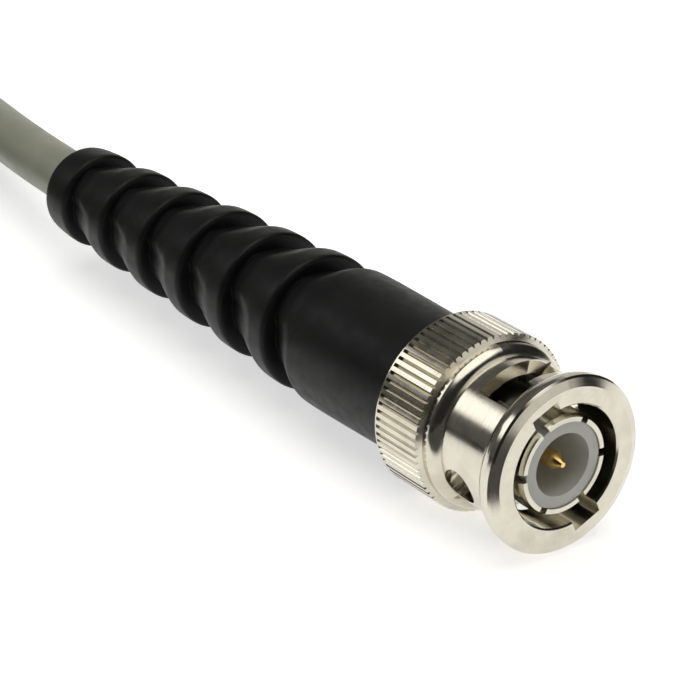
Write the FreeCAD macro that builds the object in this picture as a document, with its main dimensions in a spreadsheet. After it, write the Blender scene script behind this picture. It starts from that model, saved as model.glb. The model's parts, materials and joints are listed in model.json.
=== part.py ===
"""Bayonet-ended test probe: a plug with its coupling nut and ribbed boot, 1.2 m of round cable and a probe head.

Millimetres. X is the plug's axis, positive out of its mating face, and Z is up. The nut's front face lies at
x = 0 and the nut lies on the floor. Stations along the plug are counted back from that face, and stations
along the probe head are counted forward from its rear end.
"""

import FreeCAD, Part
import math
import os

import Sketcher

Vector = FreeCAD.Vector
Rotation = FreeCAD.Rotation

# name, value or formula, what it is
SIZES = [
    # Fits
    ("run_gap", "0.06", "radial gap of a running fit"),
    ("seat_gap", "0.02", "radial gap between pieces that are pressed or moulded together"),
    ("rest_gap", "0.3", "gap between bodies that lie beside each other"),
    ("face_gap", "0.05", "gap between faces that slide on each other"),
    # Coupling nut
    ("nut_length", "13.85", "front face to rear face"),
    ("nut_bore_r", "4.92", "bore that takes the jack"),
    ("bore_chamfer", "0.13", "chamfer at the mouth of the bore"),
    ("front_face_r", "6.34", "outer radius of the flat front face"),
    ("front_bevel_x", "0.28", "depth of the bevel round the front face"),
    ("front_bevel_r", "6.98", "outer radius of that bevel"),
    ("front_edge_x", "0.45", "start of the front flange's land"),
    ("front_land_r", "7.12", "radius of the front flange's land"),
    ("front_land_end", "0.85", "end of that land"),
    ("cove_arc", "1.75", "radius of the cove behind the flange"),
    ("cove_end", "2.35", "end of the cove"),
    ("cove_foot_r", "6.1", "radius at the foot of the cove"),
    ("barrel_r", "6.0", "radius of the plain barrel"),
    ("barrel_end", "7.25", "end of the plain barrel"),
    ("shoulder_arc", "1.1", "radius of the fillet up to the shoulder"),
    ("shoulder_x", "8.1", "shoulder ahead of the knurl"),
    ("shoulder_r", "6.72", "radius of the shoulder"),
    ("shoulder_end", "8.6", "end of the plain ring on the shoulder"),
    ("knurl_front", "8.8", "front of the knurl's full diameter"),
    ("knurl_r", "7.25", "outer radius of the knurl"),
    ("rim_length", "0.25", "plain rim behind the knurl"),
    ("knurl_end", "=nut_length - rim_length", "rear end of the knurl's grooves"),
    ("rim_chamfer", "0.12", "chamfer of the rear rim"),
    ("knurl_count", "72", "grooves round the knurl"),
    ("knurl_depth", "0.27", "depth of a knurl groove"),
    ("knurl_half_width", "0.275", "half the width of a knurl groove at its mouth"),
    ("entry_angle", "113.5", "direction of the first stud entry, from +Y towards +Z"),
    ("entry_half_width", "1.25", "half the width of a stud entry groove"),
    ("entry_depth_r", "5.65", "radius at the floor of a stud entry groove"),
    ("window_half_width", "1.4", "half the width of the window where the entry meets the cam slot"),
    ("window_front", "2.6", "front edge of that window"),
    ("window_rear", "5.95", "rear edge of that window"),
    ("cam_half_width", "1.3", "half the width of the cam slot, along the axis"),
    ("cam_start", "4.62", "centre of the cam slot at the stud entry"),
    ("cam_bend", "4.93", "centre of the cam slot where it steepens"),
    ("cam_finish", "6.15", "centre of the cam slot at its locking end"),
    ("cam_bend_angle", "37.5", "turn from the stud entry to where the slot steepens"),
    ("cam_finish_angle", "70", "turn from the stud entry to the slot's locking end"),
    ("detent_turn", "90", "turn from the stud entry to the detent hole"),
    ("detent_x", "5.65", "centre of the detent hole"),
    ("detent_r", "1.55", "radius of the detent hole"),
    # Outer contact, washers and gasket
    ("contact_front", "0.3", "tip of the outer contact, behind the nut's face"),
    ("contact_r", "4.05", "outer radius of the outer contact"),
    ("contact_tip_r", "3.85", "outer radius at its tip"),
    ("contact_tip_length", "0.35", "length of the bevel at its tip"),
    ("contact_base_r", "3.85", "outer radius behind the fingers"),
    ("contact_bore_r", "3.48", "bore of the outer contact"),
    ("finger_count", "6", "spring fingers"),
    ("finger_slot_half", "0.325", "half the width of the slot between two fingers"),
    ("finger_length", "5.7", "length of the slots"),
    ("finger_run_out", "0.1", "how far the slots run on behind the fingers' radius"),
    ("contact_swell_end", "=contact_front + finger_length - finger_run_out", "end of the fingers' radius"),
    ("gasket_thickness", "0.9", "axial thickness of the gasket"),
    ("gasket_r", "4.6", "outer radius of the gasket"),
        ("flange_thickness", "0.5", "thickness of that flange"),
    ("wave_height", "0.6", "free height of the curved spring washer"),
    ("wave_thickness", "0.22", "sheet thickness of that washer"),
    ("wave_rise", "=wave_height - wave_thickness", "rise of its bend"),
    ("wave_arc", "=(nut_bore_r * nut_bore_r + wave_rise * wave_rise) / (2 * wave_rise)", "radius of its bend"),
    ("washer_thickness", "0.2", "thickness of the thrust washer"),
    ("lip_length", "0.68", "length of the nut's inner lip"),
    ("lip_front", "=nut_length - lip_length", "front of that lip"),
    ("washer_front", "=lip_front - face_gap - washer_thickness", "front of the thrust washer"),
    ("flange_rear", "=washer_front - seat_gap - wave_height", "rear of the flange that carries the nut"),
    ("flange_front", "=flange_rear - flange_thickness", "front of that flange"),
    ("neck_r", "4.25", "radius of the neck that the nut's lip runs on"),
    ("press_r", "3.85", "radius of the press fit in the rear body"),
    ("press_length", "2.9", "length of that press fit"),
    # Insulators, pin and crimp
    ("insulator_front", "0.45", "front of the front insulator"),
    ("insulator_bore_r", "2.53", "bore round the pin"),
    ("insulator_bore_end", "5.7", "end of that bore"),
    ("pin_r", "0.675", "radius of the centre pin"),
    ("pin_tip", "0.4", "tip of the pin, behind the nut's face"),
    ("pin_point", "0.85", "length of the pin's point"),
    ("pin_point_r", "0.2", "radius of the pin's blunt end"),
    ("pin_step", "5.75", "where the pin thickens to its crimp barrel"),
    ("pin_barrel_r", "1.1", "radius of the crimp barrel"),
    ("pin_reach", "1.0", "how far the pin reaches behind the rear body's full radius"),
    ("pin_bore_depth", "3.2", "depth of the crimp barrel's bore"),
    ("insulator_joint", "9.5", "where the front and rear insulators meet"),
    ("body_r", "5.0", "radius of the rear body"),
    ("body_length", "3.85", "length of its full radius"),
    ("body_cone_length", "1.5", "length of its cone"),
    ("collar_r", "3.6", "radius of the collar that stops the ferrule"),
    ("collar_length", "0.8", "length of that collar"),
    ("cavity_r", "3.0", "radius of the cavity behind the insulator"),
    ("stem_r", "2.15", "outer radius of the crimp stem"),
    ("stem_bore_r", "1.52", "bore of the crimp stem"),
    ("stem_reach", "7.2", "length of the crimp stem"),
    ("ferrule_wall", "0.5", "wall of the crimp ferrule"),
    ("ferrule_overhang", "1.1", "how far the ferrule reaches past the stem"),
    # Cable
    ("cable_r", "2.5", "radius of the cable's jacket"),
    ("jacket_gap", "0.5", "from the stem's end to where the jacket is cut back to"),
    ("braid_r", "2.6", "radius of the braid over the stem"),
    ("dielectric_r", "1.475", "radius of the cable's dielectric"),
    ("conductor_r", "0.45", "radius of the cable's centre conductor"),
    ("lead_depth", "5.5", "how far inside the boot's mouth the free lead begins"),
    # Boot
    ("boot_front_r", "5.85", "radius of the boot's front body"),
    ("boot_front_length", "13.25", "length of the front body's full radius"),
    ("boot_shoulder_length", "0.9", "length of its rounded shoulder"),
    ("boot_shoulder_r", "5.65", "radius there"),
    ("boot_front_edge", "0.25", "rounding of the boot's front edge"),
    ("boot_neck_length", "2.3", "from that shoulder to the first rib's front flank"),
    ("rib_pitch", "6.7", "distance from rib to rib"),
    ("boot_start", "=nut_length + rest_gap", "front of the boot and of the rear body"),
    ("body_end", "=boot_start + body_length", "end of the rear body's full radius"),
    ("pin_end", "=body_end + pin_reach", "rear end of the pin"),
    ("body_cone_end", "=body_end + body_cone_length", "end of its cone"),
    ("collar_end", "=body_cone_end + collar_length", "end of its collar"),
    ("stem_end", "=collar_end + stem_reach", "rear end of the crimp stem"),
    ("ferrule_end", "=stem_end + ferrule_overhang", "rear end of the ferrule"),
    ("jacket_start", "=stem_end + jacket_gap", "where the jacket is cut back to"),
    ("boot_front_end", "=boot_start + boot_front_length", "end of the boot's full front radius"),
    ("boot_shoulder_x", "=boot_front_end + boot_shoulder_length", "end of its rounded shoulder"),
    ("flank_1", "=boot_shoulder_x + boot_neck_length", "front flank of rib 1"),
    ("flank_2", "=flank_1 + rib_pitch", "front flank of rib 2"),
    ("flank_3", "=flank_2 + rib_pitch", "front flank of rib 3"),
    ("flank_4", "=flank_3 + rib_pitch", "front flank of rib 4"),
    ("flank_5", "=flank_4 + rib_pitch", "front flank of rib 5"),
    ("flank_6", "=flank_5 + rib_pitch", "front flank of rib 6"),
    ("rib_1_r", "5.85", "outer radius of rib 1"),
    ("rib_2_r", "5.45", "outer radius of rib 2"),
    ("rib_3_r", "5.2", "outer radius of rib 3"),
    ("rib_4_r", "4.95", "outer radius of rib 4"),
    ("rib_5_r", "4.7", "outer radius of rib 5"),
    ("rib_6_r", "4.45", "outer radius of rib 6"),
    ("foot_1_r", "5.0", "radius at the foot of rib 1's flank"),
    ("foot_2_r", "4.7", "radius at the foot of rib 2's flank"),
    ("foot_3_r", "4.45", "radius at the foot of rib 3's flank"),
    ("foot_4_r", "4.2", "radius at the foot of rib 4's flank"),
    ("foot_5_r", "4.0", "radius at the foot of rib 5's flank"),
    ("foot_6_r", "3.8", "radius at the foot of rib 6's flank"),
    ("floor_1_r", "4.25", "radius of the floor of pocket 1"),
    ("floor_2_r", "3.85", "radius of the floor of pocket 2"),
    ("floor_3_r", "3.75", "radius of the floor of pocket 3"),
    ("floor_4_r", "3.65", "radius of the floor of pocket 4"),
    ("floor_5_r", "3.55", "radius of the floor of pocket 5"),
    ("floor_6_r", "3.4", "radius of the floor of pocket 6"),
    ("crest_length", "2.2", "length of a rib's crest along the webs"),
    ("crest_drop", "0.15", "fall of the radius along the crest"),
    ("fall_length", "3.9", "where the web's fall turns towards the next foot"),
    ("fall_drop", "0.42", "fall of the radius at that turn"),
    ("pocket_floor", "1.7", "length of a pocket's floor ahead of the flank"),
    ("pocket_width", "3.6", "length of a pocket at its mouth"),
    ("pocket_mouth_r", "6.4", "radius that the pocket cutters reach"),
    ("pocket_angle", "44", "direction of the first row of pockets, from +Y towards +Z"),
    ("pocket_sweep", "131", "turn that each row of pockets spans"),
    ("boot_tail_length", "3.9", "from the last rib's flank to the rear end of the boot"),
    ("boot_end", "=flank_6 + boot_tail_length", "rear end of the boot"),
    ("lead_start", "=boot_end - lead_depth", "where the free lead begins"),
    ("boot_end_length", "1.2", "length of the rounded end"),
    ("boot_end_r", "3.45", "radius of the rear face"),
    ("boot_taper", "0.35", "fall of the last rib's radius to the rounded end"),
    # Coil
    ("floor_z", "=-knurl_r", "the surface that the probe lies on"),
    ("coil_pitch", "5.45", "distance from turn to turn and from layer to layer"),
    ("coil_outer_r", "34.0", "centre line of the outermost turn"),
    ("coil_quarters", "26", "quarter turns in the coil"),
    ("coil_x", "-118.0", "centre of the coil"),
    ("coil_y", "-26.5", "centre of the coil"),
    ("coil_run", "5.0", "straight end of the coil, one cable diameter"),
    ("tie_thickness", "0.6", "thickness of the strap"),
    ("tie_width", "8.0", "width of the strap"),
    ("tie_gap", "0.1", "gap between the strap and the turns"),
    ("tie_bow", "0.5", "how far the innermost turn bows across the strap's width"),
    ("tie_corner", "2.2", "radius of the strap's corners"),
    ("tie_inner_x", "=coil_outer_r - coil_pitch * 2.75 - cable_r - tie_gap - tie_bow", "inner side of the strap"),
    ("tie_outer_x", "=coil_outer_r - coil_pitch * 0.75 + cable_r + tie_gap", "outer side of the strap"),
    ("coil_z", "=floor_z + tie_thickness + tie_gap + cable_r", "centre line of the lower layer"),
    ("coil_top_z", "=coil_z + coil_pitch", "centre line of the upper layer"),
    # Probe head
    ("head_x", "-96.0", "rear end of the probe head"),
    ("head_y", "=coil_y - coil_outer_r", "axis of the probe head"),
    ("head_z", "=coil_top_z", "axis of the probe head"),
    ("head_boot_rear_r", "3.5", "radius of the head boot's rear end"),
    ("head_boot_front_r", "4.7", "radius of the head boot's front end"),
    ("head_boot_length", "18.0", "length of the head boot that shows"),
    ("head_groove_count", "4", "ring grooves in the head boot"),
    ("head_groove_pitch", "3.4", "distance between them"),
    ("head_groove_start", "2.6", "rear edge of the first groove"),
    ("head_groove_width", "1.5", "width of a groove"),
    ("head_groove_r", "3.3", "radius at the bottom of a groove"),
    ("head_plug_r", "3.9", "radius of the head boot's plug in the handle"),
    ("head_plug_end", "22.5", "front end of that plug"),
    ("tail_end", "4.5", "where the free tail ends, inside the head boot"),
    ("head_jacket_end", "20.5", "where the jacket is cut back to"),
    ("handle_rear_r", "5.2", "radius at the rear of the handle"),
    ("handle_r", "5.75", "radius of the handle"),
    ("handle_swell_x", "25.0", "where the handle reaches its radius"),
    ("handle_waist_x", "56.0", "where the handle starts to narrow"),
    ("handle_front_r", "5.35", "radius at the front of the handle"),
    ("handle_end", "64.0", "front end of the handle"),
    ("handle_bore_r", "4.6", "bore of the handle"),
    ("handle_bore_start", "23.2", "rear end of that bore"),
    ("shield_wall", "0.3", "wall of the shield tube"),
    ("shield_start", "24.0", "rear end of the shield tube"),
    ("shield_end", "60.0", "front end of the shield tube"),
    ("board_start", "28.5", "rear end of the circuit board"),
    ("board_end", "57.0", "front end of the circuit board"),
    ("board_half_width", "3.6", "half the width of the circuit board"),
    ("board_thickness", "1.0", "thickness of the circuit board"),
    ("board_top", "=-conductor_r", "top of the board, where the cable's conductor lies on it"),
    ("dielectric_end", "24.5", "front end of the cable's dielectric in the head"),
    ("conductor_end", "30.0", "front end of the cable's conductor on the board"),
    ("resistor_y", "1.8", "place of the resistor across the board"),
    ("window_gap", "0.15", "gap round the knob's stem in its window"),
    ("resistor_r", "0.8", "radius of the resistor"),
    ("resistor_x", "32.0", "rear end of the resistor"),
    ("resistor_length", "6.5", "length of the resistor"),
    ("switch_x", "43.5", "rear end of the switch body"),
    ("switch_length", "8.5", "length of the switch body"),
    ("switch_half_width", "2.0", "half the width of the switch body"),
    ("switch_height", "2.4", "height of the switch body"),
    ("switch_travel", "3.0", "travel of the switch knob"),
    ("stem_length", "2.2", "length of the knob's stem"),
    ("stem_half_width", "0.8", "half the width of the knob's stem"),
    ("stem_x", "44.9", "rear face of the knob's stem at rest"),
    ("flat_z", "5.2", "height of the flat recess that the knob slides in"),
    ("flat_start", "41.5", "rear end of that recess"),
    ("flat_length", "12.0", "length of that recess"),
    ("flat_half_width", "2.3", "half the width of that recess"),
    ("cap_overhang", "1.0", "how far the knob's cap reaches past its stem"),
    ("cap_half_width", "1.6", "half the width of the knob's cap"),
    ("cap_height", "1.2", "height of the knob's cap"),
    ("trimmer_x", "54.0", "centre of the trimmer"),
    ("trimmer_r", "1.7", "radius of the trimmer's body"),
    ("trimmer_height", "1.7", "height of the trimmer's body"),
    ("screw_r", "1.15", "radius of the trimmer's screw"),
    ("screw_height", "0.7", "height of the screw's head"),
    ("screw_slot_half", "0.18", "half the width of the screw's slot"),
    ("screw_slot_depth", "0.35", "depth of the screw's slot"),
    ("trimmer_hole_r", "1.4", "radius of the hole over the trimmer"),
    ("guard_plug_length", "3.5", "length of the finger guard's plug in the handle"),
    ("guard_r", "=head_z - floor_z", "radius of the finger guard, which lies on the floor"),
    ("guard_thickness", "2.4", "thickness of the finger guard"),
    ("guard_round", "0.7", "rounding of the finger guard's edge"),
    ("nose_r", "4.6", "radius at the root of the nose"),
    ("nose_end_r", "3.6", "radius at the end of the nose"),
    ("nose_end", "72.0", "front end of the nose"),
    ("tip_barrel_r", "2.4", "outer radius of the tip's barrel"),
    ("tip_barrel_bore_r", "1.6", "bore of the tip's barrel"),
    ("tip_barrel_start", "58.2", "rear end of the tip's barrel"),
    ("tip_barrel_end", "83.0", "front end of the tip's barrel"),
    ("tip_flange_length", "0.8", "thickness of the barrel's flange in the shield"),
    ("needle_r", "0.38", "radius of the needle"),
    ("needle_start", "56.0", "rear end of the needle"),
    ("needle_end", "88.0", "point of the needle"),
    ("needle_point", "1.6", "length of the needle's point"),
    ("tip_insulator_end", "84.5", "front end of the tip's insulator"),
    ("tip_insulator_end_r", "0.9", "radius of that end"),
    # Spring hook
    ("hook_stand_off", "1.5", "from the nose to the hook's body, pushed home"),
    ("hook_rear", "=nose_end + hook_stand_off", "rear end of the hook's body"),
    ("hook_slim_r", "3.0", "radius of the hook body's rear part"),
    ("hook_shoulder", "82.0", "rear face of the shoulder that stops the sleeve"),
    ("hook_r", "3.4", "radius of the hook body's front part"),
    ("hook_front", "86.5", "front face that the spring bears on"),
    ("hook_bore_end", "84.8", "end of the bore that takes the barrel"),
    ("hook_needle_r", "0.5", "radius of the hole that takes the needle"),
    ("hook_stem_r", "1.5", "radius of the hook body's stem"),
    ("hook_stem_end", "93.5", "front end of that stem"),
    ("hook_hole_gap", "0.03", "gap round the hook's wire in the stem"),
    ("sleeve_travel", "6.0", "travel of the sleeve towards the handle"),
    ("sleeve_skirt", "3.0", "how far the sleeve reaches behind the shoulder that stops it"),
    ("sleeve_rear", "=hook_shoulder - sleeve_skirt", "rear end of the sleeve"),
    ("sleeve_r", "4.5", "outer radius of the sleeve"),
    ("sleeve_front_r", "3.9", "outer radius at the front of the sleeve"),
    ("sleeve_flange_r", "5.6", "radius of the sleeve's finger flange"),
    ("sleeve_flange_length", "1.5", "thickness of that flange"),
    ("sleeve_wall_start", "100.0", "rear face of the sleeve's front wall"),
    ("sleeve_end", "103.0", "front end of the sleeve"),
    ("sleeve_hole_r", "1.75", "radius of the hole that the hook passes through"),
    ("hook_wire_r", "0.35", "radius of the hook's wire"),
    ("hook_bend_r", "0.8", "radius of the hook's bend"),
    ("hook_bend_x", "102.4", "centre of the hook's bend"),
    ("hook_return", "0.8", "straight end of the hook after its bend"),
    ("hook_root", "88.5", "rear end of the hook's wire"),
    ("hook_needle_end", "88.3", "end of the hole that takes the needle"),
    ("sleeve_taper_x", "92.0", "where the sleeve starts to taper"),
    ("sleeve_run_gap", "0.1", "radial gap between the sleeve and the hook's body"),
    ("spring_wire_r", "0.2", "radius of the spring's wire"),
    ("spring_r", "2.1", "radius of the spring's centre line"),
    ("spring_half_turns", "16", "half turns of the spring"),
]

doc = FreeCAD.newDocument("probe")
sheet = doc.addObject("Spreadsheet::Sheet", "Sizes")
for row, (name, value, note) in enumerate(SIZES, start=1):
    sheet.set(f"A{row}", name)
    sheet.set(f"B{row}", value)
    sheet.set(f"C{row}", note)
    sheet.setAlias(f"B{row}", name)
doc.recompute()

bodies = []


def number(total):
    """The value of a sum of size names, such as 'nut_length - lip_thickness'."""
    result = 0.0
    sign = 1.0
    for word in total.split():
        if word == "+":
            sign = 1.0
        elif word == "-":
            sign = -1.0
        else:
            negative = word.startswith("-")
            size = float(sheet.get(word.lstrip("-")))
            result += sign * (-size if negative else size)
            sign = 1.0
    return result


def bound(total):
    """The same sum as a FreeCAD expression on the spreadsheet."""
    words = []
    for word in total.split():
        if word in "+-":
            words.append(word)
        elif word.startswith("-"):
            words.append(f"(-Sizes.{word[1:]})")
        else:
            words.append(f"Sizes.{word}")
    return " ".join(words)


def new_body(label, place=None):
    """A body with this label. place names the sizes that put its own origin at X, Y and Z."""
    body = doc.addObject("PartDesign::Body", label)
    body.Label = label
    if place:
        for axis, total in zip("xyz", place):
            if total:
                body.setExpression(f"Placement.Base.{axis}", bound(total))
    bodies.append(body)
    return body


def origin_part(body, role):
    return [feature for feature in body.Origin.OriginFeatures if feature.Role == role][0]


def new_sketch(body, role, offset="", turn="", about=Vector(1, 0, 0)):
    """A sketch on one of the body's origin planes, set off along its normal and turned by named sizes."""
    sketch = body.newObject("Sketcher::SketchObject", "sketch")
    sketch.AttachmentSupport = [(origin_part(body, role), "")]
    sketch.MapMode = "FlatFace"
    away = number(offset) if offset else 0.0
    angle = turn_number(turn) if turn else 0.0
    sketch.AttachmentOffset = FreeCAD.Placement(Vector(0, 0, away), Rotation(about, angle))
    if offset:
        sketch.setExpression("AttachmentOffset.Base.z", bound(offset))
    if turn:
        sketch.setExpression("AttachmentOffset.Rotation.Angle", turn_bound(turn))
    return sketch


def turn_number(turn):
    """A direction is a sum of sizes less a fixed quarter turn or two, as ('entry_angle', -90)."""
    return number(turn[0]) + turn[1]


def turn_bound(turn):
    return f"{bound(turn[0])} + ({turn[1]})"


def pin_point_down(sketch, geometry, end, across, up):
    """Ties one end of a line to its place, given as two sums of sizes ('' for zero)."""
    for kind, total, axis in (("DistanceX", across, -2), ("DistanceY", up, -1)):
        if total == "":
            sketch.addConstraint(Sketcher.Constraint("PointOnObject", geometry, end, axis))
            continue
        tie = Sketcher.Constraint(kind, -1, 1, geometry, end, number(total))
        index = sketch.addConstraint(tie)
        sketch.setExpression(f"Constraints[{index}]", bound(total))


def draw_loop(sketch, corners):
    """A closed outline. A corner is (across, up), or (across, up, radius) where the side that leaves it is
    an arc of that named radius, to the left of the way there for a plus and to the right for a minus."""
    points = []
    for corner in corners:
        x = number(corner[0]) if corner[0] else 0.0
        y = number(corner[1]) if corner[1] else 0.0
        points.append(Vector(x, y, 0))
    first = sketch.GeometryCount
    ends = []
    for index, corner in enumerate(corners):
        here = points[index]
        there = points[(index + 1) % len(points)]
        if len(corner) == 2:
            sketch.addGeometry(Part.LineSegment(here, there))
            ends.append((1, 2))
            continue
        side = -1.0 if corner[2].startswith("-") else 1.0
        radius = number(corner[2].lstrip("-"))
        along = there - here
        half = along.Length / 2
        left = Vector(-along.y, along.x, 0).normalize()
        centre = here + along * 0.5 - left * (side * math.sqrt(radius * radius - half * half))
        start = math.atan2(here.y - centre.y, here.x - centre.x)
        finish = math.atan2(there.y - centre.y, there.x - centre.x)
        if side > 0:
            start, finish = finish, start
        circle = Part.Circle(centre, Vector(0, 0, 1), radius)
        place = sketch.addGeometry(Part.ArcOfCircle(circle, start, finish))
        ends.append((2, 1) if side > 0 else (1, 2))
        tie = sketch.addConstraint(Sketcher.Constraint("Radius", place, radius))
        sketch.setExpression(f"Constraints[{tie}]", bound(corner[2].lstrip("-")))
    for index, corner in enumerate(corners):
        after = (index + 1) % len(corners)
        joint = (first + index, ends[index][1], first + after, ends[after][0])
        sketch.addConstraint(Sketcher.Constraint("Coincident", *joint))
    for index, corner in enumerate(corners):
        pin_point_down(sketch, first + index, ends[index][0], corner[0], corner[1])


def draw_circle(sketch, across, up, radius):
    circle = Part.Circle(Vector(number(across), number(up) if up else 0, 0), Vector(0, 0, 1), number(radius))
    place = sketch.addGeometry(circle)
    tie = sketch.addConstraint(Sketcher.Constraint("Radius", place, number(radius)))
    sketch.setExpression(f"Constraints[{tie}]", bound(radius))
    pin_point_down(sketch, place, 3, across, up)


def turned(label, corners, place=None):
    """A turned piece: its outline in (station, radius) goes round the X axis."""
    body = new_body(label, place)
    sketch = new_sketch(body, "XZ_Plane")
    draw_loop(sketch, corners)
    doc.recompute()
    turning = body.newObject("PartDesign::Revolution", "turning")
    turning.Profile = sketch
    turning.ReferenceAxis = (origin_part(body, "X_Axis"), [""])
    turning.Angle = 360
    sketch.Visibility = False
    doc.recompute()
    return body


def tube(label, start, end, inner, outer, place=None):
    return turned(label, [(start, inner), (end, inner), (end, outer), (start, outer)], place)


def cut(body, sketch, depth, outward):
    """Pockets the sketch to a named depth, along its normal where outward is true."""
    pocket = body.newObject("PartDesign::Pocket", "pocket")
    pocket.Profile = sketch
    pocket.Length = number(depth)
    pocket.setExpression("Length", bound(depth))
    pocket.Reversed = outward
    sketch.Visibility = False
    return pocket


def pad(body, sketch, height, against=False, centred=False):
    feature = body.newObject("PartDesign::Pad", "pad")
    feature.Profile = sketch
    feature.Length = number(height)
    feature.setExpression("Length", bound(height))
    feature.Reversed = against
    if centred:
        feature.SideType = "Symmetric"
    sketch.Visibility = False
    return feature


def ring_of(body, features, count="", copies=2):
    """Repeats features round the X axis."""
    pattern = body.newObject("PartDesign::PolarPattern", "pattern")
    pattern.Originals = features
    pattern.Axis = (origin_part(body, "X_Axis"), [""])
    pattern.Angle = 360
    pattern.Occurrences = int(number(count)) if count else copies
    if count:
        pattern.setExpression("Occurrences", bound(count))
    body.Tip = pattern
    doc.recompute()
    return pattern


def box_on(body, kind, corner, extents):
    """A block from its low corner and its three extents, all sums of sizes."""
    block = body.newObject(kind, "block")
    for name, total in zip(("Length", "Width", "Height"), extents):
        block.setExpression(name, bound(total))
    for axis, total in zip("xyz", corner):
        block.setExpression(f"Placement.Base.{axis}", bound(total))
    doc.recompute()
    return block


# Coupling nut: turned shape, then the bayonet cuts, then the knurl.

nut = turned(
    "nut_blank",
    [
        ("-bore_chamfer", "nut_bore_r"),
        ("", "nut_bore_r + bore_chamfer"),
        ("", "front_face_r"),
        ("-front_bevel_x", "front_bevel_r"),
        ("-front_edge_x", "front_land_r"),
        ("-front_land_end", "front_land_r", "-cove_arc"),
        ("-cove_end", "cove_foot_r"),
        ("-cove_end", "barrel_r"),
        ("-barrel_end", "barrel_r", "-shoulder_arc"),
        ("-shoulder_x", "shoulder_r"),
        ("-shoulder_end", "shoulder_r"),
        ("-knurl_front", "knurl_r"),
        ("-nut_length + rim_chamfer", "knurl_r"),
        ("-nut_length", "knurl_r - rim_chamfer"),
        ("-nut_length", "neck_r + run_gap"),
        ("-lip_front", "neck_r + run_gap"),
        ("-lip_front", "nut_bore_r"),
    ],
)

entry_sketch = new_sketch(nut, "YZ_Plane", "", ("entry_angle", 0), Vector(0, 0, 1))
draw_loop(
    entry_sketch,
    [
        ("neck_r", "-entry_half_width"),
        ("entry_depth_r", "-entry_half_width"),
        ("entry_depth_r", "entry_half_width"),
        ("neck_r", "entry_half_width"),
    ],
)
entry_cut = cut(nut, entry_sketch, "window_rear - cam_half_width", False)

window_sketch = new_sketch(nut, "XY_Plane", "", ("entry_angle", -90))
draw_loop(
    window_sketch,
    [
        ("-window_front", "-window_half_width"),
        ("-window_front", "window_half_width"),
        ("-window_rear", "window_half_width"),
        ("-window_rear", "-window_half_width"),
    ],
)
window_cut = cut(nut, window_sketch, "knurl_r", True)

cam_cuts = []
for heading, centre, turn, rise in (
    ("entry_angle", "cam_start", "cam_bend_angle", "cam_bend - cam_start"),
    ("entry_angle - cam_bend_angle", "cam_bend", "cam_finish_angle - cam_bend_angle", "cam_finish - cam_bend"),
):
    cam_sketch = new_sketch(nut, "XZ_Plane", "", (heading, -90))
    draw_loop(
        cam_sketch,
        [
            (f"-{centre} + cam_half_width", "neck_r"),
            (f"-{centre} - cam_half_width", "neck_r"),
            (f"-{centre} - cam_half_width", "shoulder_r"),
            (f"-{centre} + cam_half_width", "shoulder_r"),
        ],
    )
    doc.recompute()
    cam = nut.newObject("PartDesign::SubtractiveHelix", "cam")
    cam.Profile = cam_sketch
    cam.ReferenceAxis = (origin_part(nut, "X_Axis"), [""])
    cam.Mode = "height-turns-angle"
    cam.Height = number(rise)
    cam.Turns = number(turn) / 360
    cam.setExpression("Height", bound(rise))
    cam.setExpression("Turns", f"({bound(turn)}) / 360")
    cam.Angle = 0
    cam.Reversed = True
    cam_sketch.Visibility = False
    cam_cuts.append(cam)
    doc.recompute()

detent_sketch = new_sketch(nut, "XY_Plane", "", ("entry_angle - detent_turn", -90))
draw_circle(detent_sketch, "-detent_x", "", "detent_r")
detent_cut = cut(nut, detent_sketch, "knurl_r", True)
doc.recompute()
ring_of(nut, [entry_cut, window_cut, *cam_cuts, detent_cut])

star = []
for tooth in range(int(number("knurl_count"))):
    pitch = 2 * math.pi / number("knurl_count")
    half = number("knurl_half_width") / number("knurl_r")
    reach = number("knurl_r") + number("knurl_depth")
    for angle, radius in (
        (tooth * pitch - half, reach),
        (tooth * pitch, number("knurl_r") - number("knurl_depth")),
        (tooth * pitch + half, reach),
    ):
        star.append(Vector(-number("shoulder_end"), radius * math.cos(angle), radius * math.sin(angle)))
star.append(star[0])
rim = Part.Wire(Part.makeCircle(reach + number("rest_gap"), Vector(star[0].x, 0, 0), Vector(1, 0, 0)))
teeth = Part.makeFace([rim, Part.makePolygon(star)], "Part::FaceMakerBullseye")
knurl_cutter = doc.addObject("Part::Feature", "knurl_cutter")
knurl_cutter.Shape = teeth.extrude(Vector(number("shoulder_end") - number("knurl_end"), 0, 0))
knurled_nut = doc.addObject("Part::Cut", "coupling_nut")
knurled_nut.Label = "coupling_nut"
knurled_nut.Base = nut
knurled_nut.Tool = knurl_cutter
doc.recompute()
bodies.remove(nut)
bodies.append(knurled_nut)

# Stack that draws the nut back: outer contact with its flange, curved washer, thrust washer.

contact = turned(
    "outer_contact",
    [
        ("-contact_front", "contact_bore_r"),
        ("-contact_front", "contact_tip_r"),
        ("-contact_front - contact_tip_length", "contact_r"),
        ("-contact_swell_end", "contact_r"),
        ("-contact_swell_end", "contact_base_r"),
        ("-flange_front", "contact_base_r"),
        ("-flange_front", "nut_bore_r - run_gap"),
        ("-flange_rear", "nut_bore_r - run_gap"),
        ("-flange_rear", "neck_r"),
        ("-boot_start", "neck_r"),
        ("-boot_start", "press_r"),
        ("-boot_start - press_length", "press_r"),
        ("-boot_start - press_length", "contact_bore_r"),
    ],
)
finger_sketch = new_sketch(contact, "YZ_Plane", "-contact_front")
draw_loop(
    finger_sketch,
    [
        ("insulator_bore_r", "-finger_slot_half"),
        ("knurl_r", "-finger_slot_half"),
        ("knurl_r", "finger_slot_half"),
        ("insulator_bore_r", "finger_slot_half"),
    ],
)
finger_cut = cut(contact, finger_sketch, "finger_length", False)
doc.recompute()
ring_of(contact, [finger_cut], "finger_count")

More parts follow.
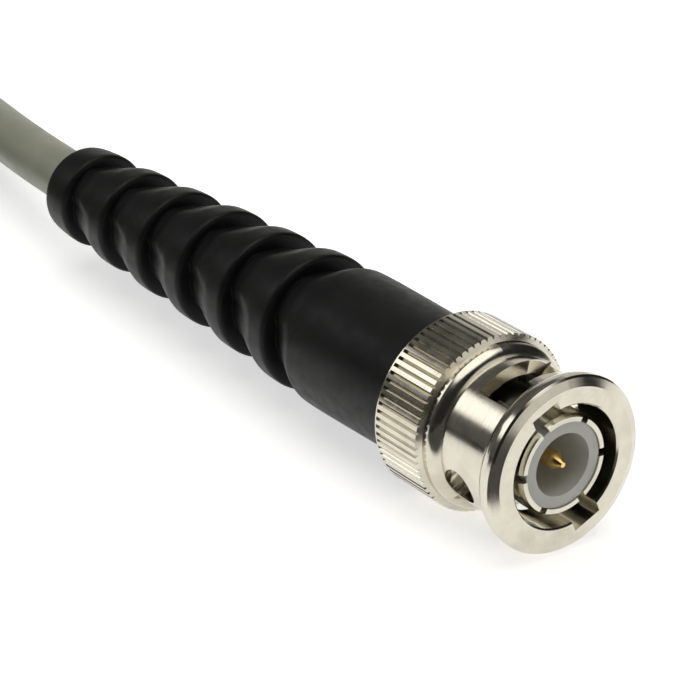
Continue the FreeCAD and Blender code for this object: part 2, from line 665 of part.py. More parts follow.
tube(
    "thrust_washer",
    "-washer_front - washer_thickness",
    "-washer_front",
    "neck_r + run_gap",
    "nut_bore_r - run_gap",
)

# The spring washer is a flat ring bent over a cylinder, so it touches at two places on each side.
wave = tube(
    "wave_washer",
    "-flange_rear - wave_height",
    "-flange_rear",
    "neck_r + run_gap",
    "nut_bore_r - run_gap",
)
bend_sketch = new_sketch(wave, "XY_Plane")
draw_loop(
    bend_sketch,
    [
        ("-flange_rear - wave_height", "-nut_bore_r", "-wave_arc"),
        ("-flange_rear - wave_height", "nut_bore_r"),
        ("-flange_rear - wave_height - wave_height", "nut_bore_r"),
        ("-flange_rear - wave_height - wave_height", "-nut_bore_r"),
    ],
)
draw_loop(
    bend_sketch,
    [
        ("-flange_rear - wave_rise", "-nut_bore_r", "-wave_arc"),
        ("-flange_rear - wave_rise", "nut_bore_r"),
        ("-flange_rear + wave_height", "nut_bore_r"),
        ("-flange_rear + wave_height", "-nut_bore_r"),
    ],
)
bend_cut = wave.newObject("PartDesign::Pocket", "pocket")
bend_cut.Profile = bend_sketch
bend_cut.SideType = "Symmetric"
bend_cut.Length = number("nut_bore_r") * 4
bend_cut.setExpression("Length", "Sizes.nut_bore_r * 4")
bend_sketch.Visibility = False
doc.recompute()

tube(
    "face_gasket",
    "-flange_front",
    "-flange_front + gasket_thickness",
    "contact_base_r + seat_gap",
    "gasket_r",
)

# Insulators, pin and crimp.

turned(
    "front_insulator",
    [
        ("-insulator_front", "insulator_bore_r"),
        ("-insulator_front", "contact_bore_r - seat_gap"),
        ("-insulator_joint", "contact_bore_r - seat_gap"),
        ("-insulator_joint", "pin_barrel_r + seat_gap"),
        ("-insulator_bore_end", "pin_barrel_r + seat_gap"),
        ("-insulator_bore_end", "insulator_bore_r"),
    ],
)
tube(
    "rear_insulator",
    "-boot_start - press_length",
    "-insulator_joint",
    "pin_barrel_r + seat_gap",
    "contact_bore_r - seat_gap",
)
turned(
    "centre_pin",
    [
        ("-pin_tip", ""),
        ("-pin_tip", "pin_point_r"),
        ("-pin_tip - pin_point", "pin_r"),
        ("-pin_step", "pin_r"),
        ("-pin_step", "pin_barrel_r"),
        ("-pin_end", "pin_barrel_r"),
        ("-pin_end", "conductor_r + seat_gap"),
        ("-pin_end + pin_bore_depth", "conductor_r + seat_gap"),
        ("-pin_end + pin_bore_depth", ""),
    ],
)
turned(
    "plug_body",
    [
        ("-boot_start", "press_r + seat_gap"),
        ("-boot_start", "body_r"),
        ("-body_end", "body_r"),
        ("-body_cone_end", "collar_r"),
        ("-collar_end", "collar_r"),
        ("-collar_end", "stem_r"),
        ("-stem_end", "stem_r"),
        ("-stem_end", "stem_bore_r"),
        ("-pin_end", "stem_bore_r"),
        ("-pin_end", "cavity_r"),
        ("-boot_start - press_length", "cavity_r"),
        ("-boot_start - press_length", "press_r + seat_gap"),
    ],
)
turned(
    "plug_end_braid",
    [
        ("-collar_end", "stem_r + seat_gap"),
        ("-collar_end", "braid_r"),
        ("-jacket_start", "braid_r"),
        ("-jacket_start", "dielectric_r + seat_gap"),
        ("-stem_end", "dielectric_r + seat_gap"),
        ("-stem_end", "stem_r + seat_gap"),
    ],
)
tube("crimp_ferrule", "-ferrule_end", "-collar_end", "braid_r + seat_gap", "braid_r + ferrule_wall")
turned(
    "plug_end_dielectric",
    [
        ("-pin_end - seat_gap", "conductor_r + seat_gap"),
        ("-pin_end - seat_gap", "dielectric_r"),
        ("-jacket_start", "dielectric_r"),
        ("-jacket_start", "conductor_r + seat_gap"),
    ],
)
turned(
    "plug_end_conductor",
    [
        ("-pin_end + pin_bore_depth - seat_gap", ""),
        ("-pin_end + pin_bore_depth - seat_gap", "conductor_r"),
        ("-jacket_start", "conductor_r"),
        ("-jacket_start", ""),
    ],
)
turned(
    "plug_end_jacket",
    [
        ("-jacket_start", ""),
        ("-jacket_start", "cable_r"),
        ("-lead_start", "cable_r"),
        ("-lead_start", ""),
    ],
)

# Boot: along the two webs its outline falls from each rib's crest to the foot of the next flank.

boot_outline = [
    ("-boot_start", "body_r + seat_gap"),
    ("-boot_start", "boot_front_r - boot_front_edge"),
    ("-boot_start - boot_front_edge", "boot_front_r"),
    ("-boot_front_end", "boot_front_r"),
    ("-boot_shoulder_x", "boot_shoulder_r"),
]
for rib in range(1, 7):
    flank = f"-flank_{rib}"
    boot_outline += [
        (flank, f"foot_{rib}_r"),
        (flank, f"rib_{rib}_r"),
        (f"{flank} - crest_length", f"rib_{rib}_r - crest_drop"),
    ]
    if rib < 6:
        boot_outline.append((f"{flank} - fall_length", f"rib_{rib}_r - fall_drop"))
boot_outline += [
    ("-boot_end + boot_end_length", "rib_6_r - boot_taper"),
    ("-boot_end", "boot_end_r"),
    ("-boot_end", "cable_r + seat_gap"),
    ("-ferrule_end - seat_gap", "cable_r + seat_gap"),
    ("-ferrule_end - seat_gap", "braid_r + ferrule_wall + seat_gap"),
    ("-collar_end", "braid_r + ferrule_wall + seat_gap"),
    ("-collar_end", "collar_r + seat_gap"),
    ("-body_cone_end", "collar_r + seat_gap"),
    ("-body_end", "body_r + seat_gap"),
]
boot = turned("plug_boot", boot_outline)

pocket_sketch = new_sketch(boot, "XZ_Plane", "", ("pocket_angle", -90))
for rib in range(1, 7):
    draw_loop(
        pocket_sketch,
        [
            (f"-flank_{rib}", f"floor_{rib}_r"),
            (f"-flank_{rib} + pocket_floor", f"floor_{rib}_r"),
            (f"-flank_{rib} + pocket_width", "pocket_mouth_r"),
            (f"-flank_{rib}", "pocket_mouth_r"),
        ],
    )
doc.recompute()
pockets = boot.newObject("PartDesign::Groove", "pockets")
pockets.Profile = pocket_sketch
pockets.ReferenceAxis = (origin_part(boot, "X_Axis"), [""])
pockets.Midplane = True
pockets.Angle = number("pocket_sweep")
pockets.setExpression("Angle", bound("pocket_sweep"))
pocket_sketch.Visibility = False
doc.recompute()
ring_of(boot, [pockets])

# Free lead: straight runs with tangent arcs, from the boot's mouth down to the floor and on to the coil.


def rounded_path(corners):
    """Runs and the largest tangent arcs that fit them, with the arcs' radii."""
    edges = []
    radii = []
    at = corners[0]
    for before, here, after in zip(corners, corners[1:], corners[2:]):
        come = (here - before).normalize()
        go = (after - here).normalize()
        half_turn = come.getAngle(go) / 2
        trim = 0.45 * min((here - before).Length, (after - here).Length)
        radii.append(trim / math.tan(half_turn))
        start = here - come * trim
        finish = here + go * trim
        bisector = (go - come).normalize()
        middle = here + bisector * (radii[-1] / math.cos(half_turn) - radii[-1])
        edges.append(Part.LineSegment(at, start).toShape())
        edges.append(Part.Arc(start, middle, finish).toShape())
        at = finish
    edges.append(Part.LineSegment(at, corners[-1]).toShape())
    return Part.Wire(edges), radii


def swept(label, path, radius):
    """A round section carried along a wire."""
    start = path.OrderedEdges[0]
    point = start.valueAt(start.FirstParameter)
    way = start.tangentAt(start.FirstParameter)
    section = Part.Wire(Part.makeCircle(radius, point, way))
    feature = doc.addObject("Part::Feature", label)
    feature.Label = label
    feature.Shape = path.makePipeShell([section], True, False)
    bodies.append(feature)
    share = feature.Shape.Volume / (math.pi * radius * radius * path.Length)
    print(f"{label}: length {path.Length:.1f} mm, volume {share:.4f} of section times length")
    return feature


coil_x = number("coil_x")
coil_y = number("coil_y")
coil_z = number("coil_z")
outer_r = number("coil_outer_r")
pitch = number("coil_pitch")
run = number("coil_run")
lead_end_y = coil_y + outer_r

lead_corners = [
    Vector(-number("lead_start"), 0, 0),
    Vector(-71.5, 0, 0),
    Vector(-84.0, 1.75, -1.0),
    Vector(coil_x + 2.3 * run, lead_end_y, coil_z),
    Vector(coil_x + run, lead_end_y, coil_z),
]
lead_path, lead_radii = rounded_path(lead_corners)
swept("cable_lead", lead_path, number("cable_r"))
print("lead arc radii", [round(radius, 1) for radius in lead_radii])


def arc_from(start, way, finish):
    """The arc that leaves start along way and ends at finish, and its middle point."""
    chord = finish - start
    across = chord - way * chord.dot(way)
    if across.Length < 1e-9:
        return Part.LineSegment(start, finish).toShape()
    toward = across.normalize()
    radius = chord.dot(chord) / (2 * chord.dot(toward))
    centre = start + toward * radius
    outward = (start + chord * 0.5 - centre).normalize()
    return Part.Arc(start, centre + outward * radius, finish).toShape()


def biarcs(stations):
    """Two tangent arcs from each (point, direction) to the next."""
    edges = []
    for (start, way), (finish, end_way) in zip(stations, stations[1:]):
        chord = finish - start
        both = way + end_way
        spare = 2 * (1 - way.dot(end_way))
        reach = (-chord.dot(both) + math.sqrt(chord.dot(both) ** 2 + spare * chord.dot(chord))) / spare
        joint = (start + finish + (way - end_way) * reach) * 0.5
        edges.append(arc_from(start, way, joint))
        edges.append(arc_from(finish, -end_way, joint))
    return edges


def least_gap(path, radius, apart):
    """The least gap of a tube to itself, between points that lie further apart than this along it."""
    count = int(path.Length / (radius * 0.8))
    points = path.discretize(Number=count)
    step = path.Length / (count - 1)
    skip = int(apart / step) + 1
    least = path.Length
    for index, point in enumerate(points):
        for other in points[index + skip :]:
            if abs(other.x - point.x) < least and abs(other.y - point.y) < least:
                least = min(least, point.distanceToPoint(other))
    return least - 2 * radius


# Coil: spirals in along the floor, climbs a layer in the half turn where it reverses, and spirals out above.

quarters = int(number("coil_quarters"))
middle = quarters / 2
climb = number("coil_top_z") - coil_z
coil_stations = []
for quarter in range(quarters + 1):
    angle = math.pi / 2 * (1 + quarter)
    radius = outer_r - pitch / 4 * min(quarter, quarters - quarter)
    shrink = 0.0 if quarter in (0, middle, quarters) else pitch / (2 * math.pi)
    growth = shrink if quarter > middle else -shrink
    height = climb * min(max((quarter - middle + 1) / 2, 0.0), 1.0)
    rise = 1.3 * climb / math.pi if quarter == middle else 0.0
    point = Vector(coil_x + radius * math.cos(angle), coil_y + radius * math.sin(angle), coil_z + height)
    way = Vector(
        growth * math.cos(angle) - radius * math.sin(angle),
        growth * math.sin(angle) + radius * math.cos(angle),
        rise,
    ).normalize()
    coil_stations.append((point, way))
first = coil_stations[0][0]
last = coil_stations[-1][0]
coil_edges = [Part.LineSegment(first + Vector(run, 0, 0), first).toShape()]
coil_edges += biarcs(coil_stations)
coil_edges.append(Part.LineSegment(last, last + Vector(run, 0, 0)).toShape())
coil_path = Part.Wire(coil_edges)
swept("cable_coil", coil_path, number("cable_r"))
coil_gap = least_gap(coil_path, number("cable_r"), 3 * outer_r)
print(f"coil: {quarters / 4} turns, least gap to itself {coil_gap:.3f} mm")

turned(
    "cable_tail",
    [
        ("coil_x - head_x + coil_run", ""),
        ("tail_end", ""),
        ("tail_end", "cable_r"),
        ("coil_x - head_x + coil_run", "cable_r"),
    ],
    ("head_x", "head_y", "head_z"),
)

tie = new_body("coil_tie", ("coil_x", "coil_y", ""))
tie_sketch = new_sketch(tie, "XZ_Plane")
for grow in ("", "tie_thickness"):
    more = f" + {grow}" if grow else ""
    less = f" - {grow}" if grow else ""
    left = f"tie_inner_x{less}"
    right = f"tie_outer_x{more}"
    low = f"coil_z - cable_r - tie_gap{less}"
    high = f"coil_top_z + cable_r + tie_gap{more}"
    draw_loop(
        tie_sketch,
        [
            (f"{left} + tie_corner", low),
            (f"{right} - tie_corner", low, "-tie_corner"),
            (right, f"{low} + tie_corner"),
            (right, f"{high} - tie_corner", "-tie_corner"),
            (f"{right} - tie_corner", high),
            (f"{left} + tie_corner", high, "-tie_corner"),
            (left, f"{high} - tie_corner"),
            (left, f"{low} + tie_corner", "-tie_corner"),
        ],
    )
doc.recompute()
pad(tie, tie_sketch, "tie_width", centred=True)
doc.recompute()

# Probe head, in stations from its rear end.

HEAD = ("head_x", "head_y", "head_z")

head_boot = turned(
    "head_boot",
    [
        ("", "cable_r + seat_gap"),
        ("", "head_boot_rear_r"),
        ("head_boot_length", "head_boot_front_r"),
        ("head_boot_length", "head_plug_r"),
        ("head_plug_end", "head_plug_r"),
        ("head_plug_end", "cable_r + seat_gap"),
    ],
    HEAD,
)
ring_sketch = new_sketch(head_boot, "XZ_Plane")
draw_loop(
    ring_sketch,
    [
        ("head_groove_start", "head_groove_r"),
        ("head_groove_start + head_groove_width", "head_groove_r"),
        ("head_groove_start + head_groove_width", "handle_r"),
        ("head_groove_start", "handle_r"),
    ],
)
doc.recompute()
ring = head_boot.newObject("PartDesign::Groove", "ring")
ring.Profile = ring_sketch
ring.ReferenceAxis = (origin_part(head_boot, "X_Axis"), [""])
ring.Angle = 360
ring_sketch.Visibility = False
doc.recompute()
rings = head_boot.newObject("PartDesign::LinearPattern", "rings")
rings.Originals = [ring]
rings.Direction = (origin_part(head_boot, "X_Axis"), [""])
rings.Length = number("head_groove_pitch") * (number("head_groove_count") - 1)
rings.setExpression("Length", "Sizes.head_groove_pitch * (Sizes.head_groove_count - 1)")
rings.Occurrences = int(number("head_groove_count"))
rings.setExpression("Occurrences", "Sizes.head_groove_count")
head_boot.Tip = rings
doc.recompute()

for label, start, end, inner, outer in (
    ("head_end_jacket", "tail_end", "head_jacket_end", "", "cable_r"),
    ("head_end_dielectric", "head_jacket_end", "dielectric_end", "conductor_r + seat_gap", "dielectric_r"),
    ("head_end_conductor", "head_jacket_end", "conductor_end", "", "conductor_r"),
):
    tube(label, start, end, inner, outer, HEAD)

handle = turned(
    "handle",
    [
        ("head_boot_length", "head_plug_r + seat_gap"),
        ("head_boot_length", "handle_rear_r"),
        ("handle_swell_x", "handle_r"),
        ("handle_waist_x", "handle_r"),
        ("handle_end", "handle_front_r"),
        ("handle_end", "handle_bore_r"),
        ("handle_bore_start", "handle_bore_r"),
        ("handle_bore_start", "head_plug_r + seat_gap"),
    ],
    HEAD,
)
shield = tube(
    "shield_tube",
    "shield_start",
    "shield_end",
    "handle_bore_r - seat_gap - shield_wall",
    "handle_bore_r - seat_gap",
    HEAD,
)
for piece in (handle, shield):
    opening_sketch = new_sketch(piece, "XY_Plane")
    draw_loop(
        opening_sketch,
        [
            ("stem_x - window_gap", "-stem_half_width - window_gap"),
            ("stem_x + stem_length + switch_travel + window_gap", "-stem_half_width - window_gap"),
            ("stem_x + stem_length + switch_travel + window_gap", "stem_half_width + window_gap"),
            ("stem_x - window_gap", "stem_half_width + window_gap"),
        ],
    )
    draw_circle(opening_sketch, "trimmer_x", "", "trimmer_hole_r")
    doc.recompute()
    cut(piece, opening_sketch, "handle_r", True)
    doc.recompute()
recess_sketch = new_sketch(handle, "XY_Plane", "flat_z")
draw_loop(
    recess_sketch,
    [
        ("flat_start", "-flat_half_width"),
        ("flat_start + flat_length", "-flat_half_width"),
        ("flat_start + flat_length", "flat_half_width"),
        ("flat_start", "flat_half_width"),
    ],
)
doc.recompute()
cut(handle, recess_sketch, "handle_r", True)
doc.recompute()

board = new_body("circuit_board", HEAD)
box_on(
    board,
    "PartDesign::AdditiveBox",
    ("board_start", "-board_half_width", "board_top - board_thickness"),
    ("board_end - board_start", "board_half_width + board_half_width", "board_thickness"),
)
tube(
    "input_resistor",
    "resistor_x",
    "resistor_x + resistor_length",
    "",
    "resistor_r",
    ("head_x", "head_y + resistor_y", "head_z + board_top + resistor_r"),
)
switch = new_body("switch_body", HEAD)
box_on(
    switch,
    "PartDesign::AdditiveBox",
    ("switch_x", "-switch_half_width", "board_top"),
    ("switch_length", "switch_half_width + switch_half_width", "switch_height"),
)
knob = new_body("switch_knob", HEAD)
box_on(
    knob,
    "PartDesign::AdditiveBox",
    ("stem_x", "-stem_half_width", "board_top + switch_height + face_gap"),
    ("stem_length", "stem_half_width + stem_half_width", "flat_z - board_top - switch_height"),
)
box_on(
    knob,
    "PartDesign::AdditiveBox",
    ("stem_x - cap_overhang", "-cap_half_width", "flat_z + face_gap"),
    ("stem_length + cap_overhang + cap_overhang", "cap_half_width + cap_half_width", "cap_height"),
)

trimmer = new_body("trimmer_body", HEAD)
trimmer_sketch = new_sketch(trimmer, "XY_Plane", "board_top")
draw_circle(trimmer_sketch, "trimmer_x", "", "trimmer_r")
doc.recompute()
pad(trimmer, trimmer_sketch, "trimmer_height")
screw = new_body("trimmer_screw", HEAD)
screw_sketch = new_sketch(screw, "XY_Plane", "board_top + trimmer_height + face_gap")
draw_circle(screw_sketch, "trimmer_x", "", "screw_r")
doc.recompute()
pad(screw, screw_sketch, "screw_height")
doc.recompute()
slot_sketch = new_sketch(screw, "XY_Plane", "board_top + trimmer_height + face_gap + screw_height")
draw_loop(
    slot_sketch,
    [
        ("trimmer_x - trimmer_r", "-screw_slot_half"),
        ("trimmer_x + trimmer_r", "-screw_slot_half"),
        ("trimmer_x + trimmer_r", "screw_slot_half"),
        ("trimmer_x - trimmer_r", "screw_slot_half"),
    ],
)
doc.recompute()
cut(screw, slot_sketch, "screw_slot_depth", False)
doc.recompute()

turned(
    "finger_guard",
    [
        ("handle_end - guard_plug_length", "tip_barrel_r + seat_gap"),
        ("handle_end - guard_plug_length", "handle_bore_r - seat_gap"),
        ("handle_end", "handle_bore_r - seat_gap"),
        ("handle_end", "guard_r - guard_round", "guard_round"),
        ("handle_end + guard_round", "guard_r"),
        ("handle_end + guard_thickness - guard_round", "guard_r", "guard_round"),
        ("handle_end + guard_thickness", "guard_r - guard_round"),
        ("handle_end + guard_thickness", "nose_r"),
        ("nose_end", "nose_end_r"),
        ("nose_end", "tip_barrel_r + seat_gap"),
    ],
    HEAD,
)
turned(
    "tip_barrel",
    [
        ("tip_barrel_start", "tip_barrel_bore_r"),
        ("tip_barrel_start", "handle_bore_r - seat_gap - shield_wall - seat_gap"),
        ("tip_barrel_start + tip_flange_length", "handle_bore_r - seat_gap - shield_wall - seat_gap"),
        ("tip_barrel_start + tip_flange_length", "tip_barrel_r"),
        ("tip_barrel_end", "tip_barrel_r"),
        ("tip_barrel_end", "tip_barrel_bore_r"),
    ],
    HEAD,
)
turned(
    "tip_insulator",
    [
        ("tip_barrel_start", "needle_r + seat_gap"),
        ("tip_barrel_start", "tip_barrel_bore_r - seat_gap"),
        ("tip_barrel_end", "tip_barrel_bore_r - seat_gap"),
        ("tip_insulator_end", "tip_insulator_end_r"),
        ("tip_insulator_end", "needle_r + seat_gap"),
    ],
    HEAD,
)
turned(
    "tip_needle",
    [
        ("needle_start", ""),
        ("needle_start", "needle_r"),
        ("needle_end - needle_point", "needle_r"),
        ("needle_end", ""),
    ],
    HEAD,
)

# Spring hook: its body grips the barrel, and its sleeve slides back over it against the spring.

hook_body = turned(
    "hook_body",
    [
        ("hook_rear", "tip_barrel_r + seat_gap"),
        ("hook_rear", "hook_slim_r"),
        ("hook_shoulder", "hook_slim_r"),
        ("hook_shoulder", "hook_r"),
        ("hook_front", "hook_r"),
        ("hook_front", "hook_stem_r"),
        ("hook_stem_end", "hook_stem_r"),
        ("hook_stem_end", ""),
        ("hook_needle_end", ""),
        ("hook_needle_end", "hook_needle_r"),
        ("hook_bore_end", "hook_needle_r"),
        ("hook_bore_end", "tip_barrel_r + seat_gap"),
    ],
    HEAD,
)
wire_hole_sketch = new_sketch(hook_body, "YZ_Plane", "hook_stem_end")
draw_circle(wire_hole_sketch, "", "-hook_bend_r", "hook_wire_r + hook_hole_gap")
doc.recompute()
cut(hook_body, wire_hole_sketch, "hook_stem_end - hook_root", False)
doc.recompute()
turned(
    "hook_sleeve",
    [
        ("sleeve_rear", "hook_slim_r + sleeve_run_gap"),
        ("sleeve_rear", "sleeve_flange_r"),
        ("sleeve_rear + sleeve_flange_length", "sleeve_flange_r"),
        ("sleeve_rear + sleeve_flange_length", "sleeve_r"),
        ("sleeve_taper_x", "sleeve_r"),
        ("sleeve_end", "sleeve_front_r"),
        ("sleeve_end", "sleeve_hole_r"),
        ("sleeve_wall_start", "sleeve_hole_r"),
        ("sleeve_wall_start", "hook_r + sleeve_run_gap"),
        ("hook_shoulder - face_gap", "hook_r + sleeve_run_gap"),
        ("hook_shoulder - face_gap", "hook_slim_r + sleeve_run_gap"),
    ],
    HEAD,
)
tip = Vector(number("head_x"), number("head_y"), number("head_z"))
bend = number("hook_bend_r")
bend_x = number("hook_bend_x")
hook_path = Part.Wire(
    [
        Part.LineSegment(tip + Vector(number("hook_root"), 0, -bend), tip + Vector(bend_x, 0, -bend)).toShape(),
        Part.Arc(
            tip + Vector(bend_x, 0, -bend),
            tip + Vector(bend_x + bend, 0, 0),
            tip + Vector(bend_x, 0, bend),
        ).toShape(),
        Part.LineSegment(
            tip + Vector(bend_x, 0, bend), tip + Vector(bend_x - number("hook_return"), 0, bend)
        ).toShape(),
    ]
)
swept("hook_wire", hook_path, number("hook_wire_r"))

half_turns = int(number("spring_half_turns"))
spring_start = number("hook_front") + number("spring_wire_r") + number("face_gap")
spring_end = number("sleeve_wall_start") - number("spring_wire_r") - number("face_gap")
spring_r = number("spring_r")
advance = (spring_end - spring_start) / half_turns
spring_stations = []
for turn in range(half_turns + 1):
    side = 1 if turn % 2 == 0 else -1
    point = tip + Vector(spring_start + advance * turn, spring_r * side, 0)
    way = Vector(advance, 0, math.pi * spring_r * side).normalize()
    spring_stations.append((point, way))
spring_path = Part.Wire(biarcs(spring_stations))
swept("hook_spring", spring_path, number("spring_wire_r"))
spring_gap = least_gap(spring_path, number("spring_wire_r"), 3 * spring_r)
print(f"spring: {half_turns / 2} turns, least gap to itself {spring_gap:.3f} mm")

# Checks, then one STEP file for each piece.

doc.recompute()
for feature in doc.Objects:
    bad = [word for word in ("Invalid", "Error") if word in feature.State]
    if bad:
        raise RuntimeError(f"{feature.Name} is {bad[0]}")
os.makedirs("parts", exist_ok=True)
for body in bodies:
    shape = body.Shape
    if shape.isNull() or not shape.isValid() or len(shape.Solids) != 1:
        raise RuntimeError(f"{body.Label} is not one valid solid")
    shape.exportStep(f"parts/{body.Label}.step")
print(f"{len(bodies)} pieces written")
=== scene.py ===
"""Looks of the test probe.

The frame is the part's own: X is the plug's axis, positive out of its mating face, and Z is up. The nut's
front face lies at x = 0. Places and radii are written in millimetres and scaled by MM, apart from the cable's
length and where a comment says metres.
"""

import json
import math

import bpy
from mathutils import Matrix, Vector


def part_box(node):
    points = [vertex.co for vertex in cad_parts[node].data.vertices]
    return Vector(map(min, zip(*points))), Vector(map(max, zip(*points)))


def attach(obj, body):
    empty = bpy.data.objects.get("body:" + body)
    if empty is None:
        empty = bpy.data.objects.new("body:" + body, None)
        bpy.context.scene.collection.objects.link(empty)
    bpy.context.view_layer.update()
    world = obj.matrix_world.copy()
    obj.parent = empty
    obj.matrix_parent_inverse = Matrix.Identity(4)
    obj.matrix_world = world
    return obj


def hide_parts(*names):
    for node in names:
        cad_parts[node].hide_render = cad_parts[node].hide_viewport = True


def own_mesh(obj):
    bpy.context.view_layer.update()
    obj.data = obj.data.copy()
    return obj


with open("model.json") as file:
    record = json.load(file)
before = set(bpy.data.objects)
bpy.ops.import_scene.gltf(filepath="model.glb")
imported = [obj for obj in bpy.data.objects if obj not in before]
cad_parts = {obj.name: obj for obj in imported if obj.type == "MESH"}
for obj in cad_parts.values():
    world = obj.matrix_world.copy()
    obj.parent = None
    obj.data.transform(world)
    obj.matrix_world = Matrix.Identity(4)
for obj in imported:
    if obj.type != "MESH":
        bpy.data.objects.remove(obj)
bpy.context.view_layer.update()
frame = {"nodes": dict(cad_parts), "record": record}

MM = 0.001
ROOT = "probe"
FLOOR_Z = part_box("coupling_nut")[0][2]

# Camera: fitted to the rings of the nut in the photograph.

CAMERA_PLACE = Vector((131.15, -115.89, 92.89)) * MM
CAMERA_RIGHT = Vector((0.59164, 0.80621, 0.0)).normalized()
CAMERA_FORWARD = Vector((-0.72725, 0.5337, -0.43159)).normalized()
FOCAL_PIXELS = 2700.0
PICTURE_PIXELS = 700.0
SENSOR_WIDTH = 36.0
NEAREST = 5.0 * MM
FARTHEST = 10000.0 * MM


def make_camera():
    data = bpy.data.cameras.new("camera")
    data.sensor_width = SENSOR_WIDTH
    data.lens = FOCAL_PIXELS / PICTURE_PIXELS * SENSOR_WIDTH
    data.clip_start = NEAREST
    data.clip_end = FARTHEST
    camera = bpy.data.objects.new("camera", data)
    up = CAMERA_RIGHT.cross(CAMERA_FORWARD)
    turn = Matrix((CAMERA_RIGHT, up, -CAMERA_FORWARD)).transposed().to_4x4()
    camera.matrix_world = Matrix.Translation(CAMERA_PLACE) @ turn
    bpy.context.scene.collection.objects.link(camera)
    bpy.context.scene.camera = camera


# Cord: from inside the boot's mouth along the floor to the coil, and from its top turn to the probe head.

CABLE_DIAMETER = 5.0 * MM
COIL_CENTRE = (-118.0, -26.5)
COIL_RADIUS = 34.0
COIL_PITCH = 5.45
COIL_LOW = -4.05
COIL_HIGH = 1.4
COIL_TURNS = 6.5
CLIMB_TURNS = 0.5
POINTS_PER_TURN = 16
HEAD_Y = COIL_CENTRE[1] - COIL_RADIUS
CORD_START = (-62.6, 0.0, -0.3)
LEAD_POINTS = [
    CORD_START,
    (-71.5, 0.0, -0.1),
    (-84.0, 1.75, -1.0),
    (-106.5, 7.5, COIL_LOW),
    (-113.0, 7.5, COIL_LOW),
]
TAIL_POINTS = [
    (-113.0, HEAD_Y, COIL_HIGH),
    (-104.0, HEAD_Y, COIL_HIGH),
    (-98.0, HEAD_Y, COIL_HIGH),
    (-91.5, HEAD_Y, COIL_HIGH),
]


def coil_points():
    """Control points of the coil: in along the floor, up a layer where it turns back, and out again above."""
    count = int(COIL_TURNS * POINTS_PER_TURN)
    swell = 1 / math.cos(math.pi / POINTS_PER_TURN)
    points = []
    for index in range(1, count):
        turn = index / POINTS_PER_TURN
        angle = math.pi / 2 + 2 * math.pi * turn
        radius = (COIL_RADIUS - COIL_PITCH * min(turn, COIL_TURNS - turn)) * swell
        share = min(max((turn - COIL_TURNS / 2) / CLIMB_TURNS + 0.5, 0.0), 1.0)
        height = COIL_LOW + (COIL_HIGH - COIL_LOW) * share
        across = COIL_CENTRE[0] + radius * math.cos(angle)
        along = COIL_CENTRE[1] + radius * math.sin(angle)
        points.append((across, along, height))
    return points


def make_cord():
    curve = bpy.data.curves.new("cable", "CURVE")
    curve.dimensions = "3D"
    curve.bevel_depth = 1.0
    curve.bevel_resolution = 7
    curve.resolution_u = 5
    curve.use_fill_caps = True
    points = LEAD_POINTS + coil_points() + TAIL_POINTS
    spline = curve.splines.new("NURBS")
    spline.points.add(len(points) - 1)
    for place, point in zip(spline.points, points):
        place.co = (point[0] * MM, point[1] * MM, point[2] * MM, 1.0)
        place.radius = CABLE_DIAMETER / 2
    spline.order_u = 3
    spline.use_endpoint_u = True
    cable = bpy.data.objects.new("cable", curve)
    bpy.context.scene.collection.objects.link(cable)
    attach(cable, ROOT)
    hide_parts("cable_lead", "cable_coil", "cable_tail")
    return cable


# Boot: round the two webs the outline falls from each crest to the next rib's foot, and between the webs it
# drops into a pocket. Its rear droops a little. Stations are millimetres behind the nut's front face.

BOOT_START = 14.15
BOOT_FRONT_RADIUS = 5.87
BOOT_SWELL = 24.5
BOOT_SWELL_RADIUS = 6.03
FIRST_FLANK = 30.6
RIB_PITCH = 6.7
RIB_RADII = (5.88, 5.53, 5.26, 4.91, 4.63, 4.35)
FOOT_RADII = (5.05, 4.75, 4.5, 4.2, 3.95, 3.75)
POCKET_RADII = (4.55, 4.25, 4.0, 3.78, 3.55, 3.35)
FIRST_REACH = 3.2
REACH = 4.4
DROOP = 0.42
DROOP_START = 38.0
DROOP_RUN = 28.0
BOOT_END = 68.0
BOOT_END_RADIUS = 3.45
BOOT_BORE = [
    (BOOT_END, 2.52),
    (28.62, 2.52),
    (28.62, 3.12),
    (20.3, 3.12),
    (20.3, 3.62),
    (19.5, 3.62),
    (18.0, 5.02),
    (BOOT_START, 5.02),
]
WEB_DIRECTIONS = (134.0, 314.0)
WEB_HALF_WIDTH = 24.5
UPPER_FADE = 14.0
LOWER_FADE = 9.0
BOOT_SIDES = 192
CORNER_CUTS = 2


def rounded(points):
    """Cuts the corners of an outline again and again, keeping its two ends."""
    for _ in range(CORNER_CUTS):
        cut = [points[0]]
        for (x0, r0), (x1, r1) in zip(points, points[1:]):
            cut.append((x0 * 0.75 + x1 * 0.25, r0 * 0.75 + r1 * 0.25))
            cut.append((x0 * 0.25 + x1 * 0.75, r0 * 0.25 + r1 * 0.75))
        cut.append(points[-1])
        points = cut
    return points


